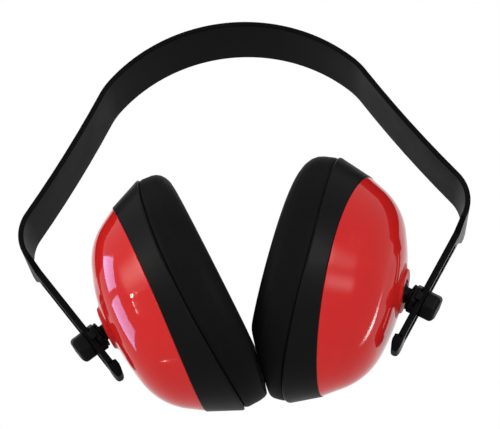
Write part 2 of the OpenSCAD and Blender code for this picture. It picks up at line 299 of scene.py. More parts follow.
shellRed = plasticMaterial("shellRed", {
    "colour": (0.60, 0.012, 0.012), "cloudColour": (0.66, 0.021, 0.019), "scuff": 0.08,
    "scuffColour": (0.75, 0.16, 0.15),
    "Grain Scale": 700.0, "Wave Scale": 34.0, "Wave Share": 0.85, "Shine Low": 0.05, "Shine High": 0.085,
    "bump": 0.12, "bumpDepth": 0.25, "specular": 0.17, "scuffRough": 0.15,
})
# painted shade: the boss takes a darker copy of the shell's red
shadedBossRed = plasticMaterial("shadedBossRed", {
    "colour": (0.50, 0.010, 0.010), "cloudColour": (0.56, 0.017, 0.016), "scuff": 0.1,
    "scuffColour": (0.7, 0.14, 0.13),
    "Grain Scale": 900.0, "Wave Scale": 60.0, "Wave Share": 0.6, "Shine Low": 0.3, "Shine High": 0.4,
    "bump": 0.15, "bumpDepth": 0.15, "specular": 0.06, "scuffRough": 0.15,
})
bandBlack = plasticMaterial("bandBlack", {
    "colour": (0.0035, 0.0035, 0.0038), "cloudColour": (0.0055, 0.0055, 0.0058), "scuff": 0.15,
    "scuffColour": (0.016, 0.016, 0.017), "Grain Scale": 1500.0, "Wave Scale": 40.0, "Wave Share": 0.35,
    "Shine Low": 0.34, "Shine High": 0.42, "bump": 0.2, "bumpDepth": 0.12, "specular": 0.014,
    "scuffRough": 0.2,
})
ringBlack = plasticMaterial("ringBlack", {
    "colour": (0.004, 0.004, 0.0043), "cloudColour": (0.0062, 0.0062, 0.0065), "scuff": 0.15,
    "scuffColour": (0.016, 0.016, 0.017), "Grain Scale": 1300.0, "Wave Scale": 36.0, "Wave Share": 0.35,
    "Shine Low": 0.36, "Shine High": 0.46, "bump": 0.22, "bumpDepth": 0.12, "specular": 0.048,
    "scuffRough": 0.2,
})
fittingBlack = plasticMaterial("fittingBlack", {
    "colour": (0.0035, 0.0035, 0.0038), "cloudColour": (0.0052, 0.0052, 0.0055), "scuff": 0.2,
    "scuffColour": (0.018, 0.018, 0.019), "Grain Scale": 1700.0, "Wave Scale": 60.0, "Wave Share": 0.3,
    "Shine Low": 0.4, "Shine High": 0.52, "bump": 0.26, "bumpDepth": 0.12, "specular": 0.045,
    "scuffRough": 0.2,
})
innerGrey = plasticMaterial("innerGrey", {
    "colour": (0.02, 0.02, 0.022), "cloudColour": (0.028, 0.028, 0.03), "scuff": 0.2,
    "scuffColour": (0.05, 0.05, 0.052), "Grain Scale": 1500.0, "Wave Scale": 50.0, "Wave Share": 0.3,
    "Shine Low": 0.45, "Shine High": 0.6, "bump": 0.25, "bumpDepth": 0.12, "specular": 0.4,
    "scuffRough": 0.2,
})


def vinylMaterial(s):
    # soft film with a pressed leather grain and shallow creases
    material, b, shader = newMaterial("cushionVinyl")
    shader.inputs["Specular IOR Level"].default_value = s["specular"]
    coords = b.add("ShaderNodeTexCoord")
    cells = b.add("ShaderNodeTexVoronoi", feature="DISTANCE_TO_EDGE", Scale=s["grainScale"])
    pores = b.add("ShaderNodeTexNoise", Scale=s["grainScale"] * s["poreShare"], Detail=3.0)
    creases = b.add("ShaderNodeTexNoise", Scale=s["creaseScale"], Detail=5.0, Roughness=0.6, Distortion=0.8)
    for node in (cells, pores, creases):
        b.join(coords.outputs["Object"], node.inputs["Vector"])
    edge = b.addRange(fromRange=(0, s["grainEdge"]))
    b.join(cells.outputs["Distance"], edge.inputs["Value"])
    height = b.add("ShaderNodeMix", data_type="FLOAT")
    height.inputs["Factor"].default_value = s["poreMix"]
    b.join(edge.outputs["Result"], height.inputs["A"])
    b.join(pores.outputs["Fac"], height.inputs["B"])
    fine = b.addBump(s["grainBump"], s["grainDepth"])
    b.join(height.outputs["Result"], fine.inputs["Height"])
    slow = b.addBump(s["creaseBump"], s["creaseDepth"])
    b.join(creases.outputs["Fac"], slow.inputs["Height"])
    b.join(slow.outputs["Normal"], fine.inputs["Normal"])
    b.join(fine.outputs["Normal"], shader.inputs["Normal"])
    tint = b.addMix(s["colour"], s["rubbed"])
    b.join(creases.outputs["Fac"], tint.inputs["Factor"])
    b.join(tint.outputs["Result"], shader.inputs["Base Color"])
    rough = b.addRange(toRange=s["rough"])
    b.join(pores.outputs["Fac"], rough.inputs["Value"])
    b.join(rough.outputs["Result"], shader.inputs["Roughness"])
    return material


cushionVinyl = vinylMaterial({
    "colour": (0.003, 0.003, 0.0033), "rubbed": (0.005, 0.005, 0.0054), "rough": (0.48, 0.64),
    "specular": 0.04, "grainScale": 820.0, "grainEdge": 0.22, "grainBump": 0.35, "grainDepth": 0.08,
    "poreShare": 2.2, "poreMix": 0.35, "creaseScale": 26.0, "creaseBump": 0.12, "creaseDepth": 0.7,
})


def foamMaterial(s):
    # open-cell foam: pores as pits between the struts, with painted shade making the pits dark
    material, b, shader = newMaterial("cupFoam")
    shader.inputs["Specular IOR Level"].default_value = s["specular"]
    shader.inputs["Sheen Weight"].default_value = s["sheen"]
    coords = b.add("ShaderNodeTexCoord")
    cells = b.add("ShaderNodeTexVoronoi", feature="SMOOTH_F1", Scale=s["poreScale"])
    small = b.add("ShaderNodeTexVoronoi", feature="F1", Scale=s["poreScale"] * s["smallShare"])
    for node in (cells, small):
        b.join(coords.outputs["Object"], node.inputs["Vector"])
    pits = b.add("ShaderNodeMath", operation="MULTIPLY")
    b.join(cells.outputs["Distance"], pits.inputs[0])
    b.join(small.outputs["Distance"], pits.inputs[1])
    ramp = b.addRange(fromRange=(0, s["pitEdge"]))
    b.join(pits.outputs[0], ramp.inputs["Value"])
    # painted shade: the colour darkens from the struts into the pits
    tint = b.addMix(s["pitShade"], s["strut"])
    b.join(ramp.outputs["Result"], tint.inputs["Factor"])
    b.join(tint.outputs["Result"], shader.inputs["Base Color"])
    rough = b.addRange(toRange=s["rough"])
    b.join(small.outputs["Distance"], rough.inputs["Value"])
    b.join(rough.outputs["Result"], shader.inputs["Roughness"])
    bump = b.addBump(s["bump"], s["bumpDepth"])
    b.join(ramp.outputs["Result"], bump.inputs["Height"])
    b.join(bump.outputs["Normal"], shader.inputs["Normal"])
    return material


cupFoam = foamMaterial({
    "pitShade": (0.008, 0.008, 0.009), "strut": (0.055, 0.055, 0.058), "poreScale": 900.0, "smallShare": 2.7,
    "pitEdge": 0.34, "rough": (0.8, 0.95), "bump": 0.8, "bumpDepth": 0.5, "specular": 0.1, "sheen": 0.2,
})


def steelMaterial(s):
    material, b, shader = newMaterial("screwSteel")
    shader.inputs["Metallic"].default_value = 1
    shader.inputs["Base Color"].default_value = (*s["colour"], 1)
    skin = b.add("ShaderNodeGroup")
    skin.node_tree = mouldSkin
    for label in ("Grain Scale", "Shine Low", "Shine High"):
        skin.inputs[label].default_value = s[label]
    b.join(skin.outputs["Roughness"], shader.inputs["Roughness"])
    return material


screwSteel = steelMaterial({"colour": (0.55, 0.55, 0.56), "Grain Scale": 2500.0, "Shine Low": 0.25,
                            "Shine High": 0.42})
print("materials made:", len(bpy.data.materials))


# mesh helpers
def placePiece(bm, name, place, material, nodes, sharpAngle=38):
    bmesh.ops.transform(bm, matrix=Matrix.Scale(metre, 4) @ place, verts=bm.verts)
    bmesh.ops.recalc_face_normals(bm, faces=bm.faces)
    for face in bm.faces:
        face.smooth = True
    for edge in bm.edges:
        edge.smooth = edge.calc_face_angle(0) < math.radians(sharpAngle)
    mesh = bpy.data.meshes.new(name)
    bm.to_mesh(mesh)
    bm.free()
    mesh.materials.append(material)
    piece = bpy.data.objects.new(name, mesh)
    scene.collection.objects.link(piece)
    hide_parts(*nodes)
    return piece


def evenNormals(piece):
    weighted = piece.modifiers.new("evenNormals", "WEIGHTED_NORMAL")
    weighted.keep_sharp = True


def softenEdges(piece, width, segments=3, angle=35):
    bevel = piece.modifiers.new("softEdges", "BEVEL")
    bevel.width, bevel.segments = width * metre, segments
    bevel.limit_method, bevel.angle_limit = "ANGLE", math.radians(angle)


def closedSection(bm, points, roundings):
    # a closed outline in the XZ plane, with some of its corners rounded, by their number
    corners = [bm.verts.new((x, 0, z)) for x, z in points]
    bm.faces.new(corners)
    for size in sorted(set(roundings.values())):
        picked = [corners[i] for i, r in roundings.items() if r == size]
        bmesh.ops.bevel(bm, geom=picked, offset=size, segments=5, profile=0.5, affect="VERTICES", material=-1)
    bmesh.ops.delete(bm, geom=bm.faces[:], context="FACES_ONLY")


def fullTurn(bm, steps):
    bmesh.ops.spin(bm, geom=bm.verts[:] + bm.edges[:], cent=(0, 0, 0), axis=upAxis, angle=math.tau,
                   steps=steps, use_merge=True)
    bmesh.ops.remove_doubles(bm, verts=bm.verts, dist=1e-4)


def arcFrom(bm, vert, centre, degrees, steps):
    # carries one point round a centre in the XZ plane and returns the last point
    made = bmesh.ops.spin(bm, geom=[vert], cent=(centre[0], 0, centre[1]), axis=acrossAxis,
                          angle=math.radians(degrees), steps=steps)
    return [v for v in made["geom_last"] if isinstance(v, bmesh.types.BMVert)][0]


def divideLong(bm, longer, cuts):
    edges = [e for e in bm.edges if e.calc_length() > longer]
    bmesh.ops.subdivide_edges(bm, edges=edges, cuts=cuts)


def roundEdges(bm, edges, size, segments):
    bmesh.ops.bevel(bm, geom=edges, offset=size, segments=segments, profile=0.5, affect="EDGES", material=-1)


def lineTo(bm, vert, x, z):
    made = bmesh.ops.extrude_vert_indiv(bm, verts=[vert])
    made["verts"][0].co = (x, 0, z)
    return made["verts"][0]


def makeOval(bm, ratio, roundInside=0.0, ovalFrom=1.0):
    # narrows the round form to an oval, which may stay round near its middle
    for vert in bm.verts:
        radius = math.hypot(vert.co.x, vert.co.y)
        share = min(1, max(0, (radius - roundInside) / (ovalFrom - roundInside))) if roundInside else 1
        share = share * share * (3 - 2 * share)
        vert.co.y *= 1 + (ratio - 1) * share
        vert.co.x -= cup["drop"] * share


# headband: one half at a time, from the top of the crown to the tip of the arm
def sweep(bm, loop, centre, degrees):
    steps = max(headband["fewestSteps"], round(abs(degrees) * headband["stepsPerDegree"]))
    made = bmesh.ops.spin(bm, geom=loop, cent=centre, axis=acrossAxis, angle=math.radians(degrees),
                          steps=steps)
    return made["geom_last"]


def stretch(bm, loop, step, shape=None):
    edges = [e for e in loop if isinstance(e, bmesh.types.BMEdge)]
    made = bmesh.ops.extrude_edge_only(bm, edges=edges)["geom"]
    verts = [v for v in made if isinstance(v, bmesh.types.BMVert)]
    bmesh.ops.translate(bm, verts=verts, vec=step)
    if shape:
        shape(verts)
    ends = set(verts)
    return verts + [e for e in made if isinstance(e, bmesh.types.BMEdge) and set(e.verts) <= ends]


def bandHalf(side):
    s = headband
    bm = bmesh.new()
    half = s["width"] / 2
    section = ((-half, 0), (half, 0), (half, s["thick"]), (-half, s["thick"]))
    corners = [bm.verts.new((0, y, z)) for y, z in section]
    bm.faces.new(corners)
    bmesh.ops.bevel(bm, geom=corners, offset=s["edge"], segments=s["edgeSteps"], profile=0.5,
                    affect="VERTICES", material=-1)
    bmesh.ops.delete(bm, geom=bm.faces[:], context="FACES_ONLY")
    loop = bm.verts[:] + bm.edges[:]
    loop = sweep(bm, loop, centres["crown"], s["crownAngle"])
    loop = sweep(bm, loop, centres["kink"], s["kinkAngle"] - s["crownAngle"])
    loop = sweep(bm, loop, centres["flare"], s["flareAngle"] - s["kinkAngle"])
    loop = sweep(bm, loop, centres["shoulder"], s["armAngle"] - s["flareAngle"])
    down = along(s["armAngle"])
    inward = -outward(s["armAngle"])
    inset = (s["armWidth"] - 2 * s["edge"] - s["slotWidth"]) / 2
    narrow = (s["width"] - s["armWidth"]) / 2

    def thicken(amount, outer, draw):
        def shape(verts):
            middle = sum(v.co.dot(inward) for v in verts) / len(verts)
            for v in verts:
                v.co += inward * (amount if v.co.dot(inward) > middle else -outer)
                v.co.y -= math.copysign(draw, v.co.y)
        return shape

    loop = stretch(bm, loop, down * s["taper"], thicken(s["armGrow"], 0, narrow))
    loop = stretch(bm, loop, down * (s["slotEnd"] - inset - s["taper"]))
    before = set(bm.faces)
    slotSpan = s["armLength"] - s["slotStart"] - s["slotEnd"] + 2 * inset
    loop = stretch(bm, loop, down * slotSpan)
    slotFaces = sorted((f for f in bm.faces if f not in before), key=lambda f: -f.calc_area())[:2]
    reach = s["slotStart"] - inset
    for distance, amount, outer, draw in s["stop"]:
        loop = stretch(bm, loop, down * (reach - distance), thicken(amount, outer, draw))
        reach = distance
    bmesh.ops.holes_fill(bm, edges=[e for e in bm.edges if e.is_boundary], sides=0)
    bmesh.ops.recalc_face_normals(bm, faces=bm.faces)
    cutSlot(bm, slotFaces, inset)
    nodes = ["headband_" + side] + (["headband_crown"] if side == "left" else [])
    piece = placePiece(bm, "headband_" + side, sideMatrix(side), bandBlack, nodes, s["sharpAngle"])
    flip = restPose[side]["mirror"]
    start, end = ((centres["crown"] + s["crownR"] * outward(s[k])) * metre for k in ("blendFrom", "blendTo"))
    start.x, end.x = start.x * flip, end.x * flip
    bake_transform(piece)
    return piece


def cutSlot(bm, faces, inset):
    bmesh.ops.inset_individual(bm, faces=faces, thickness=inset, depth=0)
    rims = [e for f in faces for e in f.edges]
    bmesh.ops.delete(bm, geom=faces, context="FACES_ONLY")
    made = bmesh.ops.bridge_loops(bm, edges=rims)
    walls = set(made["faces"])
    corners = [e for e in bm.edges if len(e.link_faces) == 2 and set(e.link_faces) <= walls]
    offset = headband["slotWidth"] / 2 - headband["slotFlat"]
    roundEdges(bm, corners, offset, headband["slotSteps"])


bandHalves = {side: bandHalf(side) for side in restPose}
for piece in bandHalves.values():
    evenNormals(piece)
print("headband made")


# slide fittings: collar inside the arm, knob outside it, and the stud through both
fitting = {"knobR": 6.6, "knobLength": 6.2, "knobCap": 2, "knobRound": 1.9, "cornerRound": 1.0,
           "knobEdge": 0.3, "collarR": 7, "collarLow": 0.7, "collarHigh": 3.3, "collarEdge": 0.45,
           "collarSharp": 30,
           "shaftR": 2, "flangeR": 5.9, "flangeTop": 4.9, "flangeSlope": 0.4, "studEdge": 0.3, "neckR": 3.5,
           "ballR": 5.85, "ballSteps": 18, "turnSteps": 48, "gap": 0.3,
           "lip": 1.5, "lipLength": 4, "lipDrop": 1.2, "lipRise": 1.8}


def hexBar(bm, radius, low, high):
    bar = bmesh.ops.create_cone(bm, cap_ends=True, segments=6, radius1=radius, radius2=radius,
                                depth=high - low)["verts"]
    bmesh.ops.translate(bm, verts=bar, vec=(0, 0, (low + high) / 2))
    bmesh.ops.rotate(bm, verts=bar, cent=(0, 0, 0), matrix=Matrix.Rotation(math.radians(90), 3, "Z"))


def makeKnob(side):
    s = fitting
    face = -headband["thick"] - s["gap"]
    end = face - s["knobLength"]
    bm = bmesh.new()
    hexBar(bm, s["knobR"], end, face)
    upright = [e for e in bm.edges if abs((e.verts[0].co - e.verts[1].co).normalized().z) > 0.95]
    roundEdges(bm, upright, s["cornerRound"], segments=4)
    rim = [e for e in bm.edges if all(abs(v.co.z - end) < 0.01 for v in e.verts)]
    roundEdges(bm, rim, s["knobRound"], segments=5)
    piece = placePiece(bm, "knob_" + side, studMatrix(side), fittingBlack, ["knob_" + side],
                       sharpAngle=50)
    softenEdges(piece, s["knobEdge"], 2)
    evenNormals(piece)
    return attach(piece, "knob_" + side)


def makeCollar(side):
    s = fitting
    bm = bmesh.new()
    hexBar(bm, s["collarR"], s["collarLow"], s["collarHigh"])
    reach = headband["armWidth"] / 2 + s["gap"]
    for way in (-1, 1):
        made = bmesh.ops.create_cube(bm, size=1)["verts"]
        bmesh.ops.scale(bm, verts=made, vec=(s["lipLength"], s["lip"], s["lipDrop"] + s["lipRise"]))
        middle = (0, way * (reach + s["lip"] / 2), (s["lipRise"] - s["lipDrop"]) / 2)
        bmesh.ops.translate(bm, verts=made, vec=middle)
    piece = placePiece(bm, "slideCollar_" + side, studMatrix(side), fittingBlack,
                       ["slide_collar_" + side], s["collarSharp"])
    softenEdges(piece, s["collarEdge"])
    evenNormals(piece)
    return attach(piece, "slider_" + side)


def makeStud(side):
    s = fitting
    top = s["collarHigh"] + s["gap"]
    end = -headband["thick"] - s["gap"] - s["knobLength"] + s["knobCap"]
    bm = bmesh.new()
    v = bm.verts.new((0, 0, end))
    v = lineTo(bm, v, s["shaftR"], end)
    v = lineTo(bm, v, s["shaftR"], top)
    v = lineTo(bm, v, s["flangeR"], top)
    v = lineTo(bm, v, s["flangeR"], s["flangeTop"] - s["flangeSlope"])
    v = lineTo(bm, v, s["neckR"], s["flangeTop"])
    meet = pivotHeight - math.sqrt(s["ballR"] ** 2 - s["neckR"] ** 2)
    v = lineTo(bm, v, s["neckR"], meet)
    swing = 180 - math.degrees(math.asin(s["neckR"] / s["ballR"]))
    arcFrom(bm, v, (0, pivotHeight), -swing, s["ballSteps"])
    fullTurn(bm, s["turnSteps"])
    piece = placePiece(bm, "pivotStud_" + side, studMatrix(side), fittingBlack,
                       ["pivot_stud_" + side])
    softenEdges(piece, s["studEdge"], 2)
    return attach(piece, "stud_" + side)


for side in restPose:
    makeKnob(side)
    makeCollar(side)
    makeStud(side)
print("slide fittings made")


# cups: dome, boss and seat ring
cup = {"rim": 50.5, "oval": 0.82, "drop": 2, "bossFace": 4.5, "bossProud": 1.1, "depth": 26.3, "wall": 2.5,
       "sideRun": 5.4, "sideDrop": 8.5, "faceSlope": 17, "hole": 9.3, "roundInside": 11, "ovalFrom": 30,
       "edgeBack": (0.15, 0.1), "edgeSoft": 0.3, "cover": 0.3,
       "faceSteps": 12, "shoulderSteps": 18, "steps": 160,
       # rise of the joint at the oval's sides, then its drop at the lower and the upper end
       "joint": {"left": (0.8, 1.8, 2.4), "right": (1.9, 0.4, 2.4)}}
cupRim = cup["depth"] - cup["bossFace"]


def endShare(vert):
    # one at the oval's two ends, none halfway between them
    return vert.co.x ** 2 / (vert.co.x ** 2 + vert.co.y ** 2)


def jointShift(vert, side, cover=0.0):
    # the joint of dome and ring lies higher at the oval's sides and lower at its ends
    sideRise, lowDrop, topDrop = cup["joint"][side]
    drop = max(0, (topDrop if vert.co.x > 0 else lowDrop) - cover)
    return sideRise * (1 - endShare(vert)) - drop * endShare(vert)


def slideJoint(vert, amount, proud):
    # carries a point along the dome's sloped side, and out from it
    radius = math.hypot(vert.co.x, vert.co.y)
    vert.co.xy *= 1 + (amount * cup["sideRun"] / cup["sideDrop"] + proud) / radius
    vert.co.z += amount


def domeArcs():
    s = cup
    apex = -s["bossFace"] + s["bossProud"]
    slope = math.atan2(s["sideDrop"], s["sideRun"])
    face = math.radians(s["faceSlope"])
    edgeX, edgeZ = s["rim"] - s["sideRun"], cupRim - s["sideDrop"]
    drop = edgeZ - apex
    turnR, turnZ = math.sin(slope) - math.sin(face), math.cos(face) - math.cos(slope)
    faceZ = 1 - math.cos(face)
    faceR = (edgeX - drop * turnR / turnZ) / (math.sin(face) - faceZ * turnR / turnZ)
    edgeR = (drop - faceR * faceZ) / turnZ
    faceC = (0, apex + faceR)
    edgeC = ((faceR - edgeR) * math.sin(face), apex + faceR - (faceR - edgeR) * math.cos(face))
    return faceR, faceC, edgeC, math.degrees(slope)


def makeShell(side):
    s = cup
    faceR, faceC, edgeC, slope = domeArcs()
    start = math.asin(s["hole"] / faceR)
    bm = bmesh.new()
    v = bm.verts.new((s["hole"], 0, faceC[1] - faceR * math.cos(start)))
    v = arcFrom(bm, v, faceC, math.degrees(start) - s["faceSlope"], s["faceSteps"])
    v = arcFrom(bm, v, edgeC, s["faceSlope"] - slope, s["shoulderSteps"])
    lineTo(bm, v, s["rim"] - s["edgeBack"][0], cupRim - s["edgeBack"][1])
    divideLong(bm, longer=6, cuts=4)
    fullTurn(bm, s["steps"])
    for vert in bm.verts:
        share = 1 - (cupRim - vert.co.z) / s["sideDrop"]
        if share > 0:
            slideJoint(vert, jointShift(vert, side, s["cover"]) * share, 0)
    makeOval(bm, s["oval"], s["roundInside"], s["ovalFrom"])
    piece = placePiece(bm, "cupShell_" + side, cupMatrix(side), shellRed, ["cup_shell_" + side],
                       sharpAngle=60)
    wall = piece.modifiers.new("wall", "SOLIDIFY")
    wall.thickness, wall.offset, wall.use_even_offset = s["wall"] * metre, -1, True
    softenEdges(piece, s["edgeSoft"], angle=50)
    evenNormals(piece)
    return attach(piece, "cup_" + side)


# boss: a proud face, a skirt on the dome, and a housing behind it that narrows to the hole
boss = {"hole": 5.4, "faceR": 9.6, "foot": (10.0, -3.4), "skirtR": 12.9, "skirt": (-2.4, -0.6),
        "housingR": 13.8, "housing": (0.6, 5.9), "boreR": 8.2, "boreEnd": -0.4,
        "narrowing": ((7.75, -2.6), (6.9, -3.8)), "back": -4.2,
        "roundings": {0: 0.12, 1: 0.3, 2: 0.5}, "steps": 96}


def makeBoss(side):
    s = boss
    face = -cup["bossFace"]
    outline = [(s["hole"], face), (s["faceR"], face), s["foot"]]
    outline += [(s["skirtR"], z) for z in s["skirt"]] + [(s["housingR"], z) for z in s["housing"]]
    outline += [(s["boreR"], s["housing"][1]), (s["boreR"], s["boreEnd"])]
    outline += [*s["narrowing"], (s["hole"], s["back"])]
    bm = bmesh.new()
    closedSection(bm, outline, s["roundings"])
    fullTurn(bm, s["steps"])
    piece = placePiece(bm, "cupBoss_" + side, cupMatrix(side), shadedBossRed, [], sharpAngle=50)
    evenNormals(piece)
    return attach(piece, "cup_" + side)


ring = {"depth": 10.5, "flare": 5, "open": 37, "floor": 2.2, "lip": 2.1, "lipDrop": 0.3, "foot": 0.1,
        "footTop": 1, "wall": 1, "wallFrom": 48,
        "hook": (42.3, 44.2), "hookLength": 2.6, "rib": (44.6, 46.6), "ribRise": 8,
        "endRise": 3.8, "endFlare": 0.9, "endProud": 0.2, "roundings": {5: 0.3, 6: 0.9, 7: 0.5}, "steps": 160}


def makeRing(side):
    s = ring
    rim, top, floor = cup["rim"], cupRim + s["depth"], cupRim + s["floor"]
    hookIn, hookOut = s["hook"]
    ribIn, ribOut = s["rib"]
    hookEnd, ribTop = cupRim - s["hookLength"], cupRim + s["ribRise"]
    outline = [(s["open"], cupRim), (hookIn, cupRim), (hookIn, hookEnd), (hookOut, hookEnd),
               (hookOut, cupRim), (rim + s["foot"], cupRim + s["foot"]),
               (rim + s["flare"], top - s["lipDrop"]), (rim + s["flare"] - s["lip"], top),
               (rim - s["wall"], floor), (ribOut, floor), (ribOut, ribTop), (ribIn, ribTop),
               (ribIn, floor), (s["open"], floor)]
    bm = bmesh.new()
    closedSection(bm, outline, s["roundings"])
    fullTurn(bm, s["steps"])
    # the flared wall is deeper and wider at the oval's ends, where its foot also reaches down over the dome
    for vert in bm.verts:
        radius = math.hypot(vert.co.x, vert.co.y)
        if radius > s["wallFrom"]:
            ends = endShare(vert)
            if vert.co.z < cupRim + s["footTop"]:
                slideJoint(vert, jointShift(vert, side), s["endProud"] * ends)
            else:
                share = (vert.co.z - cupRim) / s["depth"] * ends
                vert.co.z += s["endRise"] * share
                vert.co.xy *= 1 + s["endFlare"] * share / radius
    makeOval(bm, cup["oval"])
    piece = placePiece(bm, "seatRing_" + side, cupMatrix(side), ringBlack, ["seat_ring_" + side],
                       sharpAngle=40)
    evenNormals(piece)
    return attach(piece, "cup_" + side)


shells = {side: makeShell(side) for side in restPose}
for side in restPose:
    makeBoss(side)
    makeRing(side)
print("cups made")


# cushions: a closed vinyl ring, blown up against its stiff backing
cushion = {"outer": 54.9, "inner": 32.3, "base": 31.3, "top": 46.8, "outerBase": 53.2, "innerBase": 35.2,
           "corner": 7.8, "shoulder": 1.9, "shoulderRound": 1.0, "backing": 0.4, "steps": 128, "fill": 0.85,
           # height of the front at the upper end, at the lower end, and how late it rises between them
           "rise": {"left": (0.6, 4.4, 0.6), "right": (2.5, 6.5, 3.5)},
           # the plane where the cushions meet, in the frame's millimetres
           "touchPoint": (-1.1, -25, -153.8), "touchNormal": (1, -0.09, 0.121), "touchGap": 0.3,
           "touchSoft": 0.5, "touchSpread": 0.085, "spreadFrom": 6,
           "giveWay": {"left": ("turn_left", 0.82), "right": ("swivel_right", 0.93)}}
filling = {"pressure": 3.5, "frames": 18, "reach": 0.7, "quality": 8, "mass": 0.15, "stiffness": 25,
           "bending": 1.5}


def cushionSection(bm):
    s = cushion
    shoulder = s["base"] + s["shoulder"]
    outline = [(s["outerBase"], s["base"]), (s["outer"], shoulder), (s["outer"], s["top"]),
               (s["inner"], s["top"]), (s["inner"], shoulder), (s["innerBase"], s["base"])]
    small = s["shoulderRound"]
    closedSection(bm, outline, {2: s["corner"], 3: s["corner"], 1: small, 4: small})
    divideLong(bm, longer=2.2, cuts=4)


def blowUp(piece):
    s = filling
    rest = np.array([v.co for v in piece.data.vertices])
    cloth = piece.modifiers.new("filling", "CLOTH")
    settings = cloth.settings
    settings.quality = s["quality"]
    settings.mass = s["mass"]
    settings.use_pressure = True
    settings.uniform_pressure_force = s["pressure"]
    settings.tension_stiffness = settings.compression_stiffness = s["stiffness"]
    settings.bending_stiffness = s["bending"]
    settings.effector_weights.gravity = 0
    settings.vertex_group_mass = "backing"
    cloth.collision_settings.use_collision = False
    cloth.point_cache.frame_start, cloth.point_cache.frame_end = 1, s["frames"]
    for number in range(1, s["frames"] + 1):
        scene.frame_set(number)
    swollen = piece.evaluated_get(bpy.context.evaluated_depsgraph_get())
    blown = np.array([v.co for v in swollen.to_mesh().vertices])
    swollen.to_mesh_clear()
    piece.modifiers.remove(cloth)
    scene.frame_set(1)
    move = blown - rest
    length = np.linalg.norm(move, axis=1, keepdims=True)
    limit = s["reach"] * metre
    move *= limit * np.tanh(length / limit) / np.maximum(length, 1e-9)
    piece.data.vertices.foreach_set("co", (rest + move).astype(np.float32).ravel())
    piece.data.update()
    print("  ", piece.name, "swelled by up to %.2f mm" % (np.linalg.norm(move, axis=1).max() / metre))


def pressFlat(piece, side):
    # the two cushions lie against each other low down at the front, and leave room behind for the turn
    s = cushion
    sign = restPose[side]["mirror"]
    normal = Vector(s["touchNormal"]).normalized() * sign
    point, soft = Vector(s["touchPoint"]), s["touchSoft"]
    for vert in piece.data.vertices:
        room = normal.dot(vert.co / metre - point)
        gap = s["touchGap"] + s["touchSpread"] * max(0, vert.co.y / metre - s["spreadFrom"])
        kept = (room + gap + math.sqrt((room - gap) ** 2 + soft ** 2)) / 2
        vert.co += normal * (kept - room) * metre
    piece.data.update()


def makeCushion(side):
    s = cushion
    riseTop, riseLow, power = s["rise"][side]
    bm = bmesh.new()
    cushionSection(bm)
    fullTurn(bm, s["steps"])
    # the front stands higher towards the lower end, and the foot follows the deeper ends of the ring
    for vert in bm.verts:
        radius = math.hypot(vert.co.x, vert.co.y)
        lower = (1 - vert.co.x / radius) / 2
        height = (vert.co.z - s["base"]) / (s["top"] - s["base"])
        outside = min(1, max(0, (radius - s["inner"]) / (s["outerBase"] - s["inner"]))) ** 2
        vert.co.xy *= 1 + ring["endFlare"] * outside * (1 - height) * endShare(vert) / radius
        rise = riseTop + (riseLow - riseTop) * max(0, lower) ** power
        vert.co.z += rise * height + ring["endRise"] * outside * (1 - height) * endShare(vert)
    makeOval(bm, cup["oval"])
    bm.verts.index_update()
    backing = [v.index for v in bm.verts if v.co.z < s["base"] + s["backing"]]
    piece = placePiece(bm, "cushion_" + side, cupMatrix(side), cushionVinyl,
                       ["cushion_cover_" + side, "cushion_foam_" + side], sharpAngle=60)
    group = piece.vertex_groups.new(name="backing")
    group.add(backing, 1.0, "REPLACE")
    blowUp(piece)
    pressFlat(piece, side)
    smooth = piece.modifiers.new("smooth", "SUBSURF")
    smooth.levels = smooth.render_levels = 1
    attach(piece, "cup_" + side)
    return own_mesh(piece)


for side in restPose:
    makeCushion(side)
print("cushions made")


# sound foam in the bottom of each cup
foam = {"top": 17.8, "edgeR": 42.8, "low": 10.6, "lowR": 38.5, "steps": 96, "fill": 0.7,
        # radius and drop of points on the slightly domed top, then the rounded edge
        "dome": ((16, 0.1), (30, 0.5)), "edgeIn": 2, "edgeDrops": (1, 2.4), "hollowR": 15, "hollow": 0.4,
        "waveFrom": 2, "wave": 0.25, "waveAlong": (0.31, 0.9), "waveAcross": (0.37, 0.4)}


def makeFoam(side):
    s = foam
    bm = bmesh.new()
    v = bm.verts.new((0, 0, s["top"]))
    outline = [(x, s["top"] - drop) for x, drop in s["dome"]]
    outline.append((s["edgeR"] - s["edgeIn"], s["top"] - s["edgeDrops"][0]))
    outline.append((s["edgeR"], s["top"] - s["edgeDrops"][1]))
    outline += [(s["lowR"], s["low"]), (s["hollowR"], s["low"] + s["hollow"]), (0, s["low"] + s["hollow"])]
    for x, z in outline:
        v = lineTo(bm, v, x, z)
    divideLong(bm, longer=5, cuts=3)
    fullTurn(bm, s["steps"])
    makeOval(bm, cup["oval"])
    (alongRate, alongStart), (acrossRate, acrossStart) = s["waveAlong"], s["waveAcross"]
    for vert in bm.verts:
        if vert.co.z > s["top"] - s["waveFrom"]:
            ripple = math.sin(alongRate * vert.co.x + alongStart)
            ripple *= math.sin(acrossRate * vert.co.y + acrossStart)
            vert.co.z += s["wave"] * ripple
    piece = placePiece(bm, "soundFoam_" + side, cupMatrix(side), cupFoam, ["sound_foam_" + side],
                       sharpAngle=70)
    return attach(piece, "cup_" + side)


for side in restPose:
    makeFoam(side)
print("foam made")


# carried-over solids keep their shape and get finished materials
carried = {"socket_liner": innerGrey, "socket_retainer": innerGrey, "cushion_plate": innerGrey,
           "retainer_screws": screwSteel}
for side in restPose:
    for node, material in carried.items():
        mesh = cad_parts[node + "_" + side].data
        mesh.materials.clear()
        mesh.materials.append(material)
print("carried solids finished")


# stage: pale floor far below, white surroundings and soft lamps
stage = {"floorHeight": -0.46, "floorSize": 14, "floorColour": (0.86, 0.86, 0.86), "floorRough": 0.9,
         "floorWhite": 0.8, "worldLight": 0.6, "worldWhite": 1.0}


